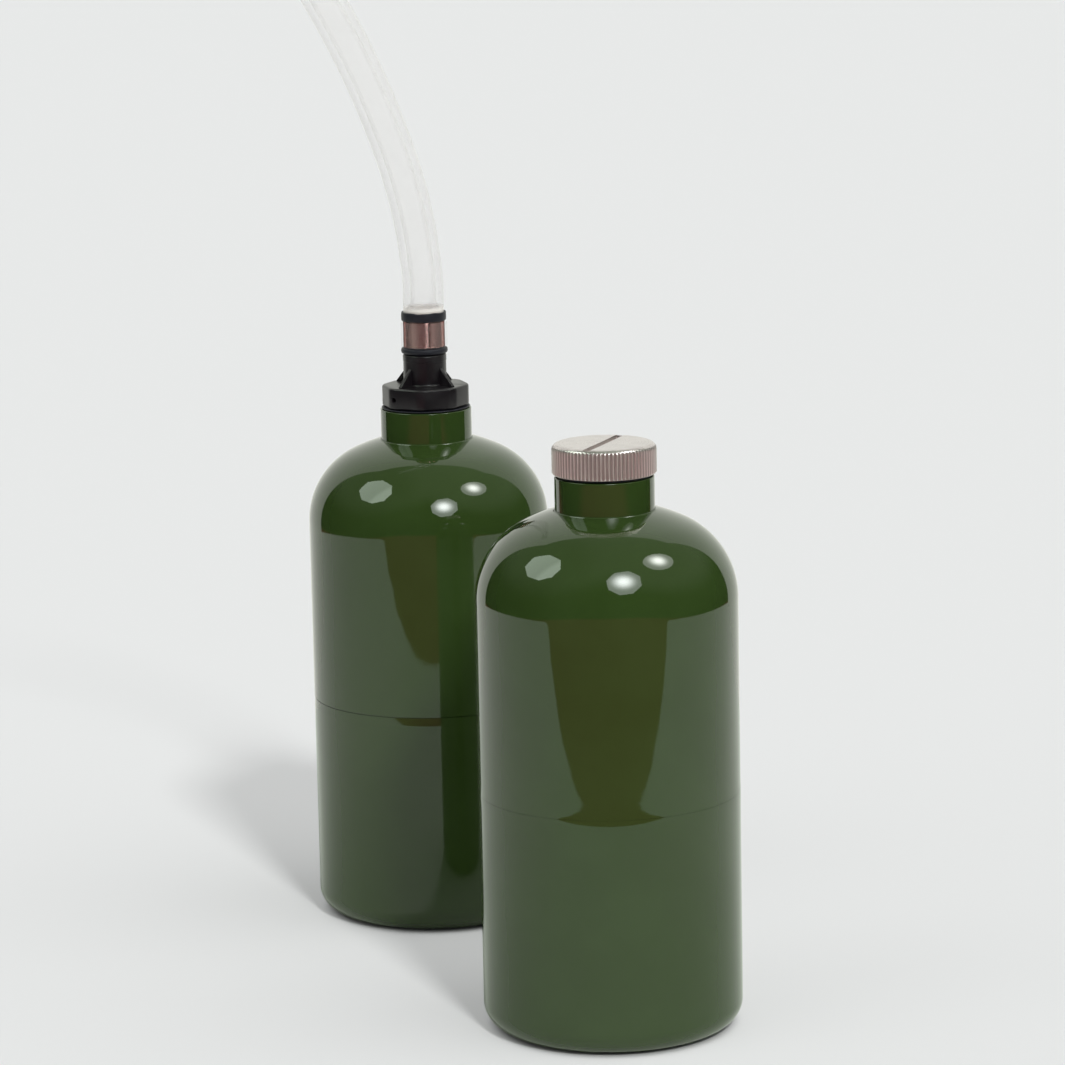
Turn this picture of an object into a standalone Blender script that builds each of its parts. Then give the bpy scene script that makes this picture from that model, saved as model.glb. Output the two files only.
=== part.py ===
# Pair of two-litre fuel cans: the front one closed by a knurled plug, the rear one with a hose coupling
import math

import bmesh
import bpy
from mathutils import Matrix, Vector

# Fits shared by all pieces
fit_gap = 0.0003
cut_overrun = 0.001
merge_reach = 0.000001
round_steps = 36
arc_steps_small = 3
arc_steps_knuckle = 5
arc_steps_crown = 4

# Where the two cans stand, about the middle of the set
spacing_across = 0.0778
spacing_deep = 0.1886

# Drawn steel shells of one can
body_radius = 0.055
sheet = 0.0015
seam_height = 0.1015
wall_top = 0.1832
shoulder_ring_radius = 0.019
crown_radius = 0.0811
base_corner_radius = 0.0102
foot_rise = 0.0005
foot_width = 0.0055
base_recess = 0.003
weld_width = 0.0024
lip_height = 0.008

# Threaded weld socket in the neck, with one inch pipe thread
neck_radius = 0.0208
neck_stand = 0.0139
socket_length = 0.017
socket_edge = 0.0006
thread_pitch_radius = 0.01577
neck_bead = 0.001

# Flat gasket under each head
gasket_thickness = 0.0006
gasket_rim = 0.0004

# Knurled screw plug
cap_radius = 0.0218
cap_height = 0.0127
cap_top_round = 0.0017
cap_foot_chamfer = 0.0014
cap_foot_inset = 0.0008
knurl_teeth = 80
knurl_depth = 0.0005
slot_width = 0.0026
slot_length = 0.0386
slot_depth = 0.0015
slot_angle = math.radians(69.5)
plug_length = 0.0115
plug_wall = 0.003
plug_end_chamfer = 0.0008
cap_pocket = 0.003

# Moulded hose coupling
flange_radius = 0.0203
flange_flats = 8
flange_turn = math.radians(40)
flange_corner_round = 0.003
flange_edge_bevel = 0.0006
flange_height = 0.0096
tail_radius = 0.00995
tail_height = 0.0142
gusset_count = 4
gusset_turn = math.radians(-131)
gusset_height = 0.0076
gusset_reach = 0.0072
gusset_width = 0.0018
vent_radius = 0.0012
vent_depth = 0.0035
vent_turn = math.radians(-136)
vent_rise = 0.0044
tube_seat_depth = 0.002

# Metal tubes that carry the fuel
tube_radius = 0.006
tube_wall = 0.001
tube_foot_height = 0.0125
tube_foot_cut = math.radians(35)
tube_seat = 0.010

# Nipple, rings and hose end above the coupling
ring_radius = 0.0107
ring_height = 0.0026
barrel_radius = 0.0091
barrel_height = 0.0118
barrel_taper = 0.0015
spigot_radius = 0.0074
spigot_height = 0.0038
band_radius = 0.0103
band_height = 0.005
hose_radius = 0.00925
hose_wall = 0.0015
cuff_wall = 0.0012
cuff_taper = 0.0011

# Centreline of the free hose, measured across and up from the end of the cuff
hose_bend_points = [
    (0.0, 0.0),
    (0.0, 0.012),
    (-0.0014, 0.027),
    (-0.0041, 0.044),
    (-0.0088, 0.063),
    (-0.0154, 0.083),
    (-0.0238, 0.1044),
    (-0.0343, 0.1269),
    (-0.0477, 0.1514),
    (-0.0652, 0.1778),
    (-0.0891, 0.2063),
]
hose_span_count = 6

# Heights and radii worked out from the sizes above
knuckle_radius = body_radius - shoulder_ring_radius
crown_centre = wall_top - math.sqrt((crown_radius - knuckle_radius) ** 2 - shoulder_ring_radius ** 2)
dome_at_neck = crown_centre + math.sqrt(crown_radius ** 2 - neck_radius ** 2)
neck_top = dome_at_neck + neck_stand
gasket_bottom = neck_top + fit_gap
head_bottom = gasket_bottom + gasket_thickness + fit_gap
lip_radius = body_radius - sheet - fit_gap
plug_radius = thread_pitch_radius - fit_gap
plug_bore = plug_radius - plug_wall
flange_top = head_bottom + flange_height
tail_top = flange_top + tail_height
ring_bottom = tail_top + fit_gap
barrel_bottom = ring_bottom + ring_height + fit_gap
barrel_top = barrel_bottom + barrel_height
spigot_top = barrel_top + barrel_taper + spigot_height
band_bottom = barrel_top + fit_gap
cuff_top = band_bottom + band_height + fit_gap
hose_start = cuff_top + fit_gap
tube_top = head_bottom + tube_seat
stem_bottom = tube_top + fit_gap

can_places = {
    "front": (spacing_across / 2, -spacing_deep / 2),
    "rear": (-spacing_across / 2, spacing_deep / 2),
}


def clear_scene():
    for item in list(bpy.data.objects):
        bpy.data.objects.remove(item, do_unlink=True)


def finish_material(name, colour, roughness, metallic, alpha=1.0):
    material = bpy.data.materials.new(name)
    material.use_nodes = True
    shader = material.node_tree.nodes["Principled BSDF"]
    shader.inputs["Base Color"].default_value = (*colour, 1.0)
    shader.inputs["Roughness"].default_value = roughness
    shader.inputs["Metallic"].default_value = metallic
    shader.inputs["Alpha"].default_value = alpha
    material.diffuse_color = (*colour, alpha)
    return material


def arc(centre_across, centre_up, radius, start, end, steps):
    turn = (end - start) / steps
    return [(centre_across + radius * math.cos(start + turn * step),
             centre_up + radius * math.sin(start + turn * step)) for step in range(steps + 1)]


def add_object(name, mesh_data, holder, material=None):
    piece = bpy.data.objects.new(name, mesh_data)
    bpy.context.collection.objects.link(piece)
    piece.parent = holder
    if material:
        piece.data.materials.append(material)
    return piece


def mesh_from(build, name, holder, material=None, sharp_angle=math.radians(35)):
    mesh = bpy.data.meshes.new(name)
    bmesh.ops.remove_doubles(build, verts=build.verts, dist=merge_reach)
    bmesh.ops.recalc_face_normals(build, faces=build.faces)
    build.to_mesh(mesh)
    build.free()
    mesh.shade_smooth()
    mesh.set_sharp_from_angle(angle=sharp_angle)
    return add_object(name, mesh, holder, material)


def turned(name, profile, holder, material=None, steps=round_steps):
    # A closed profile of (radius, height) points spun about the can's axis
    build = bmesh.new()
    corners = [build.verts.new((radius, 0, height)) for radius, height in profile]
    edges = [build.edges.new((corners[i], corners[(i + 1) % len(corners)])) for i in range(len(corners))
             if corners[i].co.x > 0 or corners[(i + 1) % len(corners)].co.x > 0]
    bmesh.ops.spin(build, geom=corners + edges, cent=(0, 0, 0), axis=(0, 0, 1),
                   angle=math.tau, steps=steps, use_merge=True)
    return mesh_from(build, name, holder, material)


def prism(name, outline, direction, holder, material=None):
    # A flat outline of points pushed along one direction
    build = bmesh.new()
    face = build.faces.new([build.verts.new(point) for point in outline])
    pushed = bmesh.ops.extrude_face_region(build, geom=[face])
    moved = [item for item in pushed["geom"] if isinstance(item, bmesh.types.BMVert)]
    bmesh.ops.translate(build, verts=moved, vec=direction)
    return mesh_from(build, name, holder, material)


def as_guide(piece):
    piece.hide_render = True
    piece.display_type = 'WIRE'
    return piece


def combine(target, other, operation):
    step = target.modifiers.new(f"{operation.lower()} {other.name}", 'BOOLEAN')
    step.operation = operation
    step.object = as_guide(other)


def lower_shell(can, holder, material):
    foot_outer = body_radius - base_corner_radius
    foot_inner = foot_outer - foot_width
    recess_radius = foot_inner - base_recess
    shoulder = seam_height - weld_width / 2
    inner_radius = body_radius - sheet
    corner_height = foot_rise + base_corner_radius
    outside = [(0, base_recess), (recess_radius, base_recess), (foot_inner, 0), (foot_outer, 0)]
    outside += arc(foot_outer, corner_height, base_corner_radius, -math.pi / 2, 0, arc_steps_small)
    joggle = [(body_radius, shoulder), (lip_radius, shoulder), (lip_radius, seam_height + lip_height),
              (lip_radius - sheet, seam_height + lip_height), (lip_radius - sheet, shoulder - sheet),
              (inner_radius, shoulder - sheet - (body_radius - lip_radius))]
    inside = arc(foot_outer, corner_height, base_corner_radius - sheet, 0, -math.pi / 2, arc_steps_small)
    inside += [(foot_inner, sheet), (recess_radius, base_recess + sheet), (0, base_recess + sheet)]
    return turned(f"{can}_lower_shell", outside + joggle + inside, holder, material)


def upper_shell(can, holder, material):
    skirt = seam_height + weld_width / 2
    hole = neck_radius + fit_gap
    joint_angle = math.atan2(wall_top - crown_centre, shoulder_ring_radius)

    def dome(offset, steps_knuckle, steps_crown):
        knuckle = arc(shoulder_ring_radius, wall_top, knuckle_radius - offset, 0, joint_angle, steps_knuckle)
        end_angle = math.acos(hole / (crown_radius - offset))
        crown = arc(0, crown_centre, crown_radius - offset, joint_angle, end_angle, steps_crown)
        return knuckle + crown[1:]

    outside = [(body_radius, skirt)] + dome(0, arc_steps_knuckle, arc_steps_crown)
    inside = dome(sheet, arc_steps_knuckle, arc_steps_crown)[::-1] + [(body_radius - sheet, skirt)]
    return turned(f"{can}_upper_shell", outside + inside, holder, material)


def girth_weld(can, holder, material):
    low = seam_height - weld_width / 2 + fit_gap
    high = seam_height + weld_width / 2 - fit_gap
    profile = [(body_radius, low), (body_radius, high), (body_radius - sheet, high), (body_radius - sheet, low)]
    return turned(f"{can}_girth_weld", profile, holder, material)


def neck_socket(can, holder, material):
    low = neck_top - socket_length
    profile = [(neck_radius, low), (neck_radius, neck_top - socket_edge), (neck_radius - socket_edge, neck_top),
               (thread_pitch_radius + socket_edge, neck_top), (thread_pitch_radius, neck_top - socket_edge),
               (thread_pitch_radius, low)]
    return turned(f"{can}_neck_socket", profile, holder, material)


def neck_weld(can, holder, material):
    def above_dome(radius):
        return crown_centre + math.sqrt((crown_radius + fit_gap) ** 2 - radius ** 2)

    inner = neck_radius + fit_gap
    outer = inner + neck_bead
    profile = [(outer, above_dome(outer)), (inner, above_dome(inner) + neck_bead), (inner, above_dome(inner))]
    return turned(f"{can}_neck_weld", profile, holder, material)


def flat_gasket(name, holder, material):
    inner = plug_radius + fit_gap
    outer = neck_radius - gasket_rim
    top = gasket_bottom + gasket_thickness
    profile = [(outer, gasket_bottom), (outer, top), (inner, top), (inner, gasket_bottom)]
    return turned(name, profile, holder, material)


def male_stub(name, holder):
    # The plain core of the male thread, hollow from below up into the head
    low = head_bottom - plug_length
    high = head_bottom + cap_pocket / 2
    profile = [(plug_radius - plug_end_chamfer, low), (plug_radius, low + plug_end_chamfer),
               (plug_radius, high), (0, high), (0, low)]
    return turned(name, profile, holder)


def knurled_head(holder, material):
    # Rings of crest and root columns, so the teeth run out into the round and the chamfer
    columns = knurl_teeth * 2
    root_radius = cap_radius - knurl_depth
    top = head_bottom + cap_height
    flat_radius = cap_radius - cap_top_round
    foot_radius = cap_radius - cap_foot_inset
    half_round = math.radians(45)
    root_rise = cap_foot_chamfer * (root_radius - foot_radius) / (cap_radius - foot_radius)
    root_drop = cap_top_round * (1 - math.sin(math.acos((root_radius - flat_radius) / cap_top_round)))
    rings = [
        ((foot_radius, head_bottom), (foot_radius, head_bottom)),
        ((cap_radius, head_bottom + cap_foot_chamfer), (root_radius, head_bottom + root_rise)),
        ((cap_radius, top - cap_top_round), (root_radius, top - root_drop)),
        ((flat_radius + cap_top_round * math.cos(half_round), top - cap_top_round * (1 - math.sin(half_round))),
         (flat_radius + cap_top_round * math.cos(half_round), top - cap_top_round * (1 - math.sin(half_round)))),
        ((flat_radius, top), (flat_radius, top)),
    ]
    build = bmesh.new()
    loops = []
    for crest, root in rings:
        loop = []
        for column in range(columns):
            radius, height = root if column % 2 else crest
            turn = math.tau * column / columns
            loop.append(build.verts.new((radius * math.cos(turn), radius * math.sin(turn), height)))
        loops.append(loop)
    for lower, upper in zip(loops, loops[1:]):
        for column in range(columns):
            following = (column + 1) % columns
            build.faces.new((lower[column], lower[following], upper[following], upper[column]))
    build.faces.new(loops[0][::-1])
    build.faces.new(loops[-1])
    return mesh_from(build, "screw_cap", holder, material)


def cap_slot_cutter(holder):
    top = head_bottom + cap_height
    floor = top - slot_depth
    half_width = slot_width / 2
    half_length = slot_length / 2
    corners = [(-half_length, -half_width), (half_length, -half_width),
               (half_length, half_width), (-half_length, half_width)]
    spin = Matrix.Rotation(slot_angle, 3, 'Z')
    outline = [spin @ Vector((x, y, floor)) for x, y in corners]
    return prism("slot_cutter", outline, (0, 0, slot_depth + cut_overrun), holder)


def plug_bore_cutter(name, depth_into_head, holder):
    low = head_bottom - plug_length - cut_overrun
    high = head_bottom + depth_into_head
    profile = [(plug_bore, low), (plug_bore, high), (0, high), (0, low)]
    return turned(name, profile, holder)


def screw_cap(holder, material):
    cap = knurled_head(holder, material)
    combine(cap, male_stub("cap_stub", holder), 'UNION')
    combine(cap, plug_bore_cutter("cap_bore_cutter", cap_pocket, holder), 'DIFFERENCE')
    combine(cap, cap_slot_cutter(holder), 'DIFFERENCE')
    return cap


def flange_outline(radius, corner_round, height):
    # A regular outline whose corners are round
    side_turn = math.tau / flange_flats
    centre_radius = radius - corner_round
    points = []
    for corner in range(flange_flats):
        turn = flange_turn + side_turn * corner
        across = centre_radius * math.cos(turn)
        along = centre_radius * math.sin(turn)
        points += [Vector((x, y, height)) for x, y in arc(across, along, corner_round, turn - side_turn / 2,
                                                          turn + side_turn / 2, arc_steps_small - 1)]
    return points


def coupling_flange(holder, material):
    # The outline in four levels, drawn in at the bottom and top edges
    levels = [(-flange_edge_bevel, head_bottom), (0, head_bottom + flange_edge_bevel),
              (0, flange_top - flange_edge_bevel), (-flange_edge_bevel, flange_top)]
    build = bmesh.new()
    loops = [[build.verts.new(point) for point in flange_outline(flange_radius + inset, flange_corner_round, height)]
             for inset, height in levels]
    count = len(loops[0])
    for lower, upper in zip(loops, loops[1:]):
        for i in range(count):
            following = (i + 1) % count
            build.faces.new((lower[i], lower[following], upper[following], upper[i]))
    build.faces.new(loops[0][::-1])
    build.faces.new(loops[-1])
    return mesh_from(build, "hose_coupling", holder, material)


def coupling_tail(holder):
    low = head_bottom + flange_height / 2
    profile = [(tail_radius, low), (tail_radius, tail_top), (0, tail_top), (0, low)]
    return turned("coupling_tail", profile, holder)


def coupling_gusset(number, holder):
    turn = gusset_turn + math.tau * number / gusset_count
    root = tail_radius - gusset_width
    corners = [(root, flange_top - flange_edge_bevel), (tail_radius + gusset_reach, flange_top - flange_edge_bevel),
               (tail_radius + gusset_reach, flange_top), (tail_radius, flange_top + gusset_height),
               (root, flange_top + gusset_height)]
    spin = Matrix.Rotation(turn, 3, 'Z')
    outline = [spin @ Vector((x, -gusset_width / 2, z)) for x, z in corners]
    return prism(f"gusset_{number + 1}", outline, spin @ Vector((0, gusset_width, 0)), holder)


def fuel_bore_cutter(holder):
    radius = tube_radius + fit_gap
    low = head_bottom - plug_length - cut_overrun
    profile = [(radius, low), (radius, tail_top + cut_overrun), (0, tail_top + cut_overrun), (0, low)]
    return turned("fuel_bore_cutter", profile, holder)


def vent_cutter(holder):
    cutter_length = vent_depth * 2
    build = bmesh.new()
    bmesh.ops.create_cone(build, cap_ends=True, segments=arc_steps_small * 4, radius1=vent_radius,
                          radius2=vent_radius, depth=cutter_length)
    spin = Matrix.Rotation(vent_turn, 4, 'Z')
    lay = Matrix.Rotation(math.pi / 2, 4, 'Y')
    shift = Matrix.Translation((flange_radius * math.cos(math.pi / flange_flats), 0, head_bottom + vent_rise))
    bmesh.ops.transform(build, matrix=spin @ shift @ lay, verts=build.verts)
    return mesh_from(build, "vent_cutter", holder)


def hose_coupling(holder, material):
    coupling = coupling_flange(holder, material)
    combine(coupling, male_stub("coupling_stub", holder), 'UNION')
    combine(coupling, coupling_tail(holder), 'UNION')
    for number in range(gusset_count):
        combine(coupling, coupling_gusset(number, holder), 'UNION')
    combine(coupling, plug_bore_cutter("coupling_bore_cutter", tube_seat_depth, holder), 'DIFFERENCE')
    combine(coupling, fuel_bore_cutter(holder), 'DIFFERENCE')
    combine(coupling, vent_cutter(holder), 'DIFFERENCE')
    return coupling


def dip_tube(holder, material):
    bore = tube_radius - tube_wall
    profile = [(tube_radius, tube_foot_height), (tube_radius, tube_top), (bore, tube_top), (bore, tube_foot_height)]
    tube = turned("dip_tube", profile, holder, material, steps=round_steps // 2)
    # The foot is cut on the slant, so it can't seal against the bottom
    reach = tube_radius + cut_overrun
    rise = reach * math.tan(tube_foot_cut)
    corners = [(-reach, -cut_overrun), (reach, -cut_overrun), (reach, rise * 2), (-reach, 0)]
    outline = [Vector((x, -reach, tube_foot_height + z)) for x, z in corners]
    combine(tube, prism("foot_cutter", outline, (0, reach * 2, 0), holder), 'DIFFERENCE')
    return tube


def stop_ring(holder, material):
    inner = tube_radius + fit_gap
    top = ring_bottom + ring_height
    profile = [(ring_radius, ring_bottom), (ring_radius, top), (inner, top), (inner, ring_bottom)]
    return turned("stop_ring", profile, holder, material)


def hose_nipple(holder, material):
    bore = tube_radius - tube_wall
    profile = [(tube_radius, stem_bottom), (tube_radius, barrel_bottom), (barrel_radius, barrel_bottom),
               (barrel_radius, barrel_top), (spigot_radius, barrel_top + barrel_taper),
               (spigot_radius, spigot_top), (bore, spigot_top), (bore, stem_bottom)]
    return turned("hose_nipple", profile, holder, material)


def hose_cuff(holder, material):
    # The hose's own end, stretched over the barrel and drawn in again under the band
    inner = barrel_radius + fit_gap
    outer = inner + cuff_wall
    profile = [(outer, barrel_bottom), (outer, band_bottom - fit_gap - cuff_taper),
               (hose_radius, band_bottom - fit_gap), (hose_radius, cuff_top),
               (hose_radius - hose_wall, cuff_top), (hose_radius - hose_wall, barrel_top + barrel_taper + fit_gap),
               (inner, barrel_top + fit_gap), (inner, barrel_bottom)]
    return turned("hose_cuff", profile, holder, material)


def clamp_band(holder, material):
    inner = hose_radius + fit_gap
    top = band_bottom + band_height
    profile = [(band_radius, band_bottom), (band_radius, top), (inner, top), (inner, band_bottom)]
    return turned("clamp_band", profile, holder, material)


def smooth_route(points, spans):
    # Even steps along a Catmull-Rom curve through the route's own points
    chain = [Vector((x, 0, z)) for x, z in points]
    chain = [chain[0] * 2 - chain[1]] + chain + [chain[-1] * 2 - chain[-2]]
    fine = []
    samples = 12
    for i in range(1, len(chain) - 2):
        before, start, end, after = chain[i - 1:i + 3]
        for sample in range(samples):
            t = sample / samples
            fine.append(0.5 * (start * 2 + (end - before) * t + (before * 2 - start * 5 + end * 4 - after) * t ** 2
                               + (start * 3 - before - end * 3 + after) * t ** 3))
    fine.append(chain[-2])
    steps = [(b - a).length for a, b in zip(fine, fine[1:])]
    spacing = sum(steps) / spans
    route = [fine[0]]
    travelled = 0
    for (a, b), step in zip(zip(fine, fine[1:]), steps):
        while len(route) < spans and travelled + step >= spacing * len(route):
            share = (spacing * len(route) - travelled) / step
            route.append(a.lerp(b, share))
        travelled += step
    route.append(fine[-1])
    return route


def free_hose(holder, material):
    route = smooth_route(hose_bend_points[1:], hose_span_count)
    route.insert(0, Vector((0, 0, 0)))
    print("free hose length", round(sum((b - a).length for a, b in zip(route, route[1:])), 4))
    curve = bpy.data.curves.new("free_hose", 'CURVE')
    curve.dimensions = '3D'
    curve.bevel_depth = hose_radius
    curve.bevel_resolution = 4
    curve.use_fill_caps = True
    spline = curve.splines.new('POLY')
    spline.points.add(len(route) - 1)
    for point, place in zip(spline.points, route):
        point.co = (place.x, place.y, place.z + hose_start, 1)
    return add_object("free_hose", curve, holder, material)


def build_set():
    clear_scene()
    enamel = finish_material("green enamel", (0.055, 0.095, 0.04), 0.22, 0.0)
    steel = finish_material("turned stainless", (0.62, 0.58, 0.55), 0.35, 1.0)
    nipple_metal = finish_material("nipple metal", (0.55, 0.47, 0.44), 0.25, 1.0)
    moulding = finish_material("black moulding", (0.018, 0.017, 0.019), 0.42, 0.0)
    rubber = finish_material("black rubber", (0.012, 0.012, 0.013), 0.6, 0.0)
    clear_hose = finish_material("clear hose", (0.88, 0.88, 0.86), 0.15, 0.0, alpha=0.35)

    holders = {}
    for can, (across, deep) in can_places.items():
        holder = bpy.data.objects.new(f"{can}_can", None)
        bpy.context.collection.objects.link(holder)
        holder.location = (across, deep, 0)
        holders[can] = holder
        lower_shell(can, holder, enamel)
        upper_shell(can, holder, enamel)
        girth_weld(can, holder, enamel)
        neck_socket(can, holder, enamel)
        neck_weld(can, holder, enamel)

    front = holders["front"]
    flat_gasket("cap_gasket", front, rubber)
    screw_cap(front, steel)

    rear = holders["rear"]
    flat_gasket("coupling_gasket", rear, rubber)
    hose_coupling(rear, moulding)
    dip_tube(rear, steel)
    stop_ring(rear, rubber)
    hose_nipple(rear, nipple_metal)
    hose_cuff(rear, clear_hose)
    clamp_band(rear, rubber)
    free_hose(rear, clear_hose)
    bpy.context.view_layer.update()


build_set()
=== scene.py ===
# Two green enamelled fuel cans: the front one shut by a knurled plug, the rear one with a hose coupling
import math

import bpy
from mathutils import Matrix, Vector


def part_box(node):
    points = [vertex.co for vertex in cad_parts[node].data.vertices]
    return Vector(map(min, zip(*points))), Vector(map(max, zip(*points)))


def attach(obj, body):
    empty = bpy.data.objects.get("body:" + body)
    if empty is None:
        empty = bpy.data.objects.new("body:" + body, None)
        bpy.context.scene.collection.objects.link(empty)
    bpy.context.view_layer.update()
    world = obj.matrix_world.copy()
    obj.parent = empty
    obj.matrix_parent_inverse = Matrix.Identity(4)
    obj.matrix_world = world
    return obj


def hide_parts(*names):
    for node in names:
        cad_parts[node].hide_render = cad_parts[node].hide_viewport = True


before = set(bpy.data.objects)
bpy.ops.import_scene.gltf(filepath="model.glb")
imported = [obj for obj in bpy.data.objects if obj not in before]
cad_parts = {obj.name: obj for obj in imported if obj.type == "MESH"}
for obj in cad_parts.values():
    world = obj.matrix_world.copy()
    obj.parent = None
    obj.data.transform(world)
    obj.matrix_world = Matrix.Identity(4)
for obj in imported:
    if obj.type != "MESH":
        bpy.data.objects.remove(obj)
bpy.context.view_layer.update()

hairGap = 0.00005       # clearance between pieces that look joined
weldReach = 0.000001    # how close two points count as one
smoothUnder = math.radians(32)      # flatter edges than this are shaded smooth


# Where the cans stand, and the heights that the frame gives

def nodeBox(node):
    low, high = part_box(node)
    return Vector(low), Vector(high)


def canAxis(can):
    low, high = nodeBox(can + "_lower_shell")
    return (low + high) / 2


canAxes = {can: canAxis(can) for can in ("front", "rear")}
seamHeight = sum(point.z for point in nodeBox("front_girth_weld")) / 2
socketFoot, socketMouth = nodeBox("front_neck_socket")
neckTop = socketMouth.z
socketLow = socketFoot.z
neckRadius = (socketMouth.x - socketFoot.x) / 2
headBottom = nodeBox("cap_gasket")[1].z + 0.0003      # the frame's gap between gasket and head
capTop = nodeBox("screw_cap")[1].z
stubLow = nodeBox("screw_cap")[0].z
tailTop = nodeBox("hose_coupling")[1].z
clampTop = nodeBox("clamp_band")[1].z - 0.0011        # the band is trimmed off

can = {
    "radius": 0.05488,          # straight wall
    "sheet": 0.0015,
    "wallTop": 0.1832,          # where the shoulder begins
    "shoulderRing": 0.019,      # circle on which the shoulder's centres lie
    "crown": 0.08098,
    "baseCorner": 0.0101,
    "footRise": 0.0005,         # the round corner clears the floor by this much beside the foot
    "footWidth": 0.0055,
    "footEdge": 0.0008,         # the floor is touched this far in from the foot's sides
    "baseRecess": 0.003,
    "recessRound": 0.0012,
    "lip": 0.008,
    "lipGap": 0.0003,
    "steps": 160,
}

print("frame loaded, seam at", round(seamHeight, 4), "neck top at", round(neckTop, 4))


# Modelling helpers

def deselect():
    bpy.ops.object.select_all(action='DESELECT')


def pick(piece):
    deselect()
    piece.select_set(True)
    bpy.context.view_layer.objects.active = piece


def arcPoints(across, up, radius, start, end, steps):
    turn = (end - start) / steps
    return [(across + radius * math.cos(start + turn * step),
             up + radius * math.sin(start + turn * step)) for step in range(steps + 1)]


def drawOutline(name, points):
    # one vertex, extruded from point to point
    deselect()
    bpy.ops.mesh.primitive_plane_add(size=0.01)
    piece = bpy.context.object
    piece.name = name
    bpy.ops.object.mode_set(mode='EDIT')
    bpy.ops.mesh.select_mode(type='VERT')
    bpy.ops.mesh.merge(type='CENTER')
    bpy.ops.transform.translate(value=(points[0][0], 0, points[0][1]))
    for here, there in zip(points, points[1:]):
        step = (there[0] - here[0], 0, there[1] - here[1])
        bpy.ops.mesh.extrude_region_move(TRANSFORM_OT_translate={"value": step})
    return piece


def lathe(name, points, steps=96):
    # a closed outline of (radius, height), spun about the can's axis
    piece = drawOutline(name, points + points[:1])
    bpy.ops.mesh.select_all(action='SELECT')
    bpy.ops.mesh.remove_doubles(threshold=weldReach)
    bpy.ops.mesh.spin(steps=steps, angle=math.tau, center=(0, 0, 0), axis=(0, 0, 1))
    bpy.ops.mesh.select_all(action='SELECT')
    bpy.ops.mesh.remove_doubles(threshold=weldReach)
    bpy.ops.mesh.normals_make_consistent(inside=False)
    bpy.ops.object.mode_set(mode='OBJECT')
    bpy.ops.object.shade_smooth_by_angle(angle=smoothUnder)
    return piece


def choose(piece, kind, test):
    # goes into edit mode with the points, edges or faces chosen that pass the test
    bpy.ops.object.mode_set(mode='EDIT')
    bpy.ops.mesh.select_mode(type=kind)
    bpy.ops.mesh.select_all(action='DESELECT')
    bpy.ops.object.mode_set(mode='OBJECT')
    mesh = piece.data
    for part in {'VERT': mesh.vertices, 'EDGE': mesh.edges, 'FACE': mesh.polygons}[kind]:
        part.select = test(part)
    bpy.ops.object.mode_set(mode='EDIT')


def carve(piece, tool, operation='DIFFERENCE'):
    step = piece.modifiers.new("carve", 'BOOLEAN')
    step.operation = operation
    step.object = tool
    pick(piece)
    bpy.ops.object.modifier_apply(modifier=step.name)
    bpy.data.objects.remove(tool, do_unlink=True)


def settle(piece, which, body, material, nodes):
    # to its can's axis, with the place in the mesh
    pick(piece)
    piece.location = (canAxes[which].x, canAxes[which].y, 0)
    bpy.ops.object.transform_apply(location=True, rotation=True, scale=True)
    piece.data.materials.clear()
    piece.data.materials.append(material)
    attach(piece, body)
    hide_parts(*nodes)


# Shader helper

class Wire:
    # one output of a node; sums and products of wires add their own Math nodes
    def __init__(self, tree, socket=None):
        self.tree = tree
        self.socket = socket

    def node(self, kind, settings, inputs, output=0):
        added = self.tree.nodes.new(kind)
        for name, value in settings.items():
            setattr(added, name, value)
        for name, value in inputs.items():
            if isinstance(value, Wire):
                self.tree.links.new(value.socket, added.inputs[name])
            else:
                added.inputs[name].default_value = value
        return Wire(self.tree, added.outputs[output]) if added.outputs else None

    def math(self, operation, left, right):
        return self.node("ShaderNodeMath", {"operation": operation}, {0: left, 1: right})

    def __add__(self, other):
        return self.math("ADD", self, other)

    __radd__ = __add__

    def __sub__(self, other):
        return self.math("SUBTRACT", self, other)

    def __rsub__(self, other):
        return self.math("SUBTRACT", other, self)

    def __mul__(self, other):
        return self.math("MULTIPLY", self, other)

    __rmul__ = __mul__


def newMaterial(name):
    material = bpy.data.materials.new(name)
    material.use_nodes = True
    material.node_tree.nodes.clear()
    return material, Wire(material.node_tree)


def finish(wires, surface):
    wires.node("ShaderNodeOutputMaterial", {}, {"Surface": surface})


def noise(wires, place, scale, detail):
    return wires.node("ShaderNodeTexNoise", {}, {"Vector": place, "Scale": scale, "Detail": detail,
                                                 "Roughness": 0.5})


def blendColours(wires, factor, dark, light):
    return wires.node("ShaderNodeMix", {"data_type": 'RGBA'}, {0: factor, 6: dark, 7: light}, 2)


def fade(wires, value, low, high):
    # 0 at low, 1 at high, eased between
    return wires.node("ShaderNodeMapRange", {"interpolation_type": 'SMOOTHSTEP'},
                      {"Value": value, "From Min": low, "From Max": high})


def objectPlace(wires):
    return wires.node("ShaderNodeTexCoord", {}, {}, 3)


def lightPath(wires, output):
    # output 0 is Is Camera Ray, 3 Is Glossy Ray, 6 Is Transmission Ray
    return wires.node("ShaderNodeLightPath", {}, {}, output)


def along(wires, place, axis):
    # axis 0 is X, 1 is Y, 2 is Z
    return wires.node("ShaderNodeSeparateXYZ", {}, {"Vector": place}, axis)


def bump(wires, height, distance, under=None):
    links = {"Height": height, "Distance": distance, "Strength": 1.0}
    if under:
        links["Normal"] = under
    return wires.node("ShaderNodeBump", {}, links)


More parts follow.
